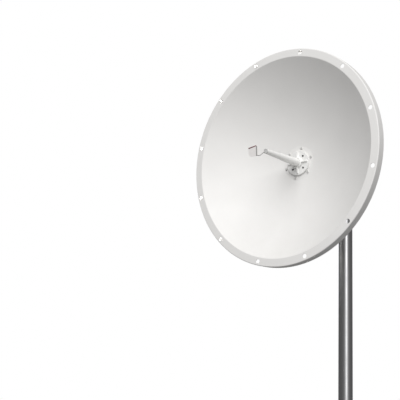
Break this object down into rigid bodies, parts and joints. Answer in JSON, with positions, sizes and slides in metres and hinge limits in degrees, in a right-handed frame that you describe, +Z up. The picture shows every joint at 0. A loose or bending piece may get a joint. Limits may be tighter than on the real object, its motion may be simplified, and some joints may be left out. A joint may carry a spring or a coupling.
{
  "type": "microwave dish antenna",
  "caption": "Round parabolic microwave dish with a drilled flat rim and a central feed tube, held beside a steel pole on a foot plate by a tilting clamp bracket.",
  "frame": {"origin": "middle of the foot plate's underside, on the pole's axis", "axes": "+Z up along the pole; the dish looks along -Y and 3.6 degrees down; +X to the right seen from the front"},
  "size_m": [0.972, 0.6527, 1.8373],
  "materials": {
    "reflector_white": "white powder coat, satin",
    "feed_white": "white paint over a casting, satin",
    "end_grey": "light grey moulded plug",
    "splash_grey": "very light grey paint, satin",
    "strip_red": "dull dark red edge strip",
    "strip_dark": "mid grey edge strip and rod",
    "dark_screw": "black oxide",
    "stainless": "bright fastener steel",
    "galvanised": "hot-dip zinc, dull with spangle",
    "plated_brass": "plated, bright",
    "pole_steel": "dark grey drawn steel tube with a satin shine",
    "cap_black": "black moulded plastic"
  },
  "bodies": {
    "root": {"reflector": "reflector_white", "feed_base": "feed_white", "feed_tube": "feed_white", "feed_end_cap": "end_grey", "feed_screw_1": "dark_screw", "feed_screw_2": "dark_screw", "feed_screw_3": "dark_screw", "feed_screw_4": "dark_screw", "splash_plate": "splash_grey", "plate_top_strip": "strip_red", "plate_side_strip": "strip_dark", "plate_stay": "strip_dark", "hub_bolt_1": "stainless", "hub_bolt_2": "stainless", "hub_bolt_3": "stainless", "hub_bolt_4": "stainless", "hub_bolt_5": "stainless", "hub_bolt_6": "stainless", "hub_plate": "galvanised", "feed_connector": "plated_brass", "tilt_bracket": "galvanised", "pole_bracket": "galvanised", "pivot_bolt": "stainless", "lock_bolt": "stainless", "elevation_rod": "stainless", "rod_nut_1": "stainless", "rod_nut_2": "stainless", "rod_nut_3": "stainless", "rod_nut_4": "stainless", "u_bolt_lower": "galvanised", "u_bolt_upper": "galvanised", "u_bolt_nut_lower_left": "stainless", "u_bolt_nut_lower_right": "stainless", "u_bolt_nut_upper_left": "stainless", "u_bolt_nut_upper_right": "stainless", "pole_saddle_lower": "galvanised", "pole_saddle_upper": "galvanised", "mast_pole": "pole_steel", "mast_foot": "pole_steel", "pole_cap": "cap_black"}
  },
  "joints": []
}
